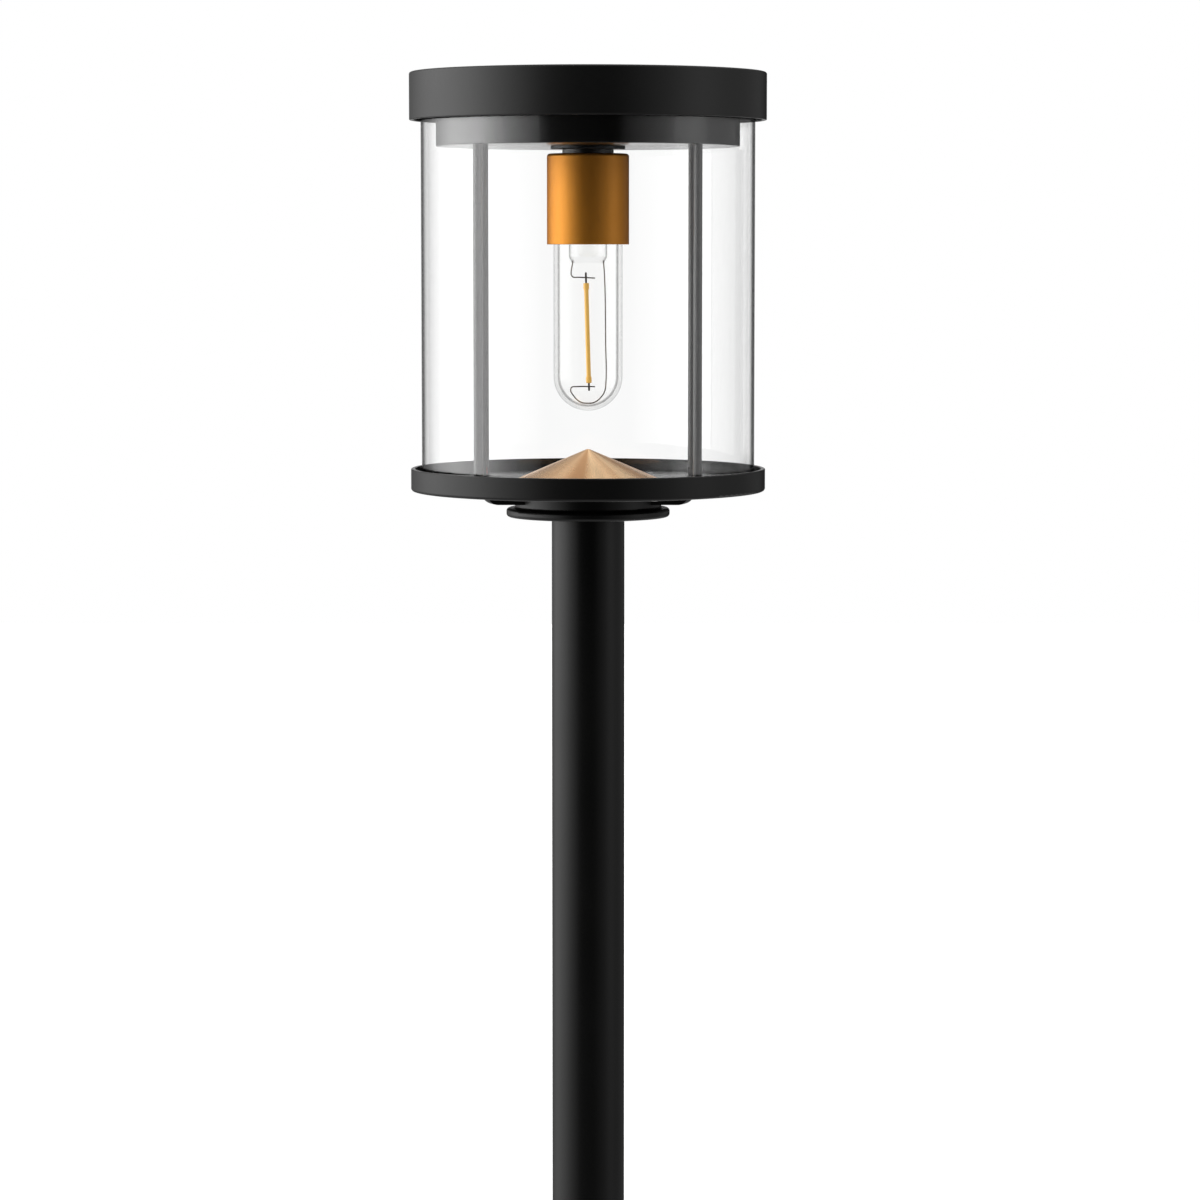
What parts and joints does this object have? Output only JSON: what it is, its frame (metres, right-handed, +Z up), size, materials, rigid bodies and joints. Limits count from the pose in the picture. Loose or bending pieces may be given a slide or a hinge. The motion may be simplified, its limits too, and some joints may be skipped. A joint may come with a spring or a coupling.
{
  "type": "electric garden torch",
  "caption": "Pole-mounted garden torch light: a black lidded glass cylinder lantern with a hanging tube lamp and a cone reflector, on a round black pole with a ground spike.",
  "frame": {"origin": "on the pole's axis at ground level, the underside of the ground spike's step plate", "axes": "+Z up along the pole, -Y towards the viewer, +X to the viewer's right"},
  "size_m": [0.1676, 0.1676, 1.6633],
  "materials": {
    "spike_black": "moulded, fine texture",
    "pole_black": "satin black powder coat",
    "fitter_black": "satin black powder coat",
    "tray_black": "satin black powder coat",
    "cap_black": "satin black powder coat",
    "housing_black": "satin black powder coat",
    "strut_black": "satin black powder coat",
    "rubber_black": "matt",
    "steel_hardware": "stainless",
    "splice_nylon": "moulded",
    "lantern_glass": "clear, polished",
    "copper_cone": "copper plated, satin lacquer",
    "bronze_cup": "satin copper bronze plating, lacquered",
    "holder_resin": "moulded phenolic",
    "brass_contacts": "bright",
    "bulb_cap_nickel": "nickel plated",
    "bulb_insulator_glass": "vitreous black",
    "bulb_glass": "clear, thin",
    "bulb_wire_metal": "dull nickel",
    "led_phosphor": "amber phosphor silicone",
    "driver_board": "glass fibre board",
    "lead_red": "silicone",
    "lead_black": "silicone"
  },
  "bodies": {
    "frame": {"ground_spike": "spike_black", "pole": "pole_black", "pole_fitter": "fitter_black", "mounting_bar": "fitter_black", "tray": "tray_black", "deck_plate": "tray_black", "lamp_housing": "housing_black", "cover_washer": "housing_black", "stem_collar": "housing_black", "strut_front_left": "strut_black", "strut_front_right": "strut_black", "strut_rear_left": "strut_black", "strut_rear_right": "strut_black", "cable_grommet": "rubber_black", "bottom_gasket": "rubber_black", "fitter_set_screws": "steel_hardware", "spike_set_screws": "steel_hardware", "fitter_screws": "steel_hardware", "deck_screws": "steel_hardware", "deck_bushes": "steel_hardware", "cone_screws": "steel_hardware", "cap_standoffs": "steel_hardware", "nipple_locknut": "steel_hardware", "splice_screws": "steel_hardware", "splice_block": "splice_nylon", "reflector_cone": "copper_cone", "socket_cup": "bronze_cup", "lampholder_body": "holder_resin", "lampholder_shell": "brass_contacts", "centre_contact": "brass_contacts", "holder_terminals": "brass_contacts", "nipple": "brass_contacts", "lead_positive": "lead_red", "lead_negative": "lead_black"},
    "glass": {"lantern_glass": "lantern_glass"},
    "cap": {"cap": "cap_black", "cap_screws": "steel_hardware", "top_gasket": "rubber_black"},
    "bulb": {"bulb_glass": "bulb_glass", "bulb_stem": "bulb_glass", "bulb_shell": "bulb_cap_nickel", "bulb_insulator": "bulb_insulator_glass", "bulb_contact": "bulb_cap_nickel", "bulb_driver": "driver_board", "bulb_wires": "bulb_wire_metal", "led_filament": "led_phosphor", "filament_tabs": "bulb_wire_metal"}
  },
  "joints": [
    {"name": "glass_lift", "type": "slide", "parent": "frame", "child": "glass", "axis": [0, 0, 1], "range_m": [0, 0.18]},
    {"name": "cap_lift", "type": "slide", "parent": "glass", "child": "cap", "axis": [0, 0, 1], "range_m": [0, 0.05]},
    {"name": "bulb_drop", "type": "slide", "parent": "frame", "child": "bulb", "axis": [0, 0, -1], "range_m": [0, 0.016]}
  ]
}
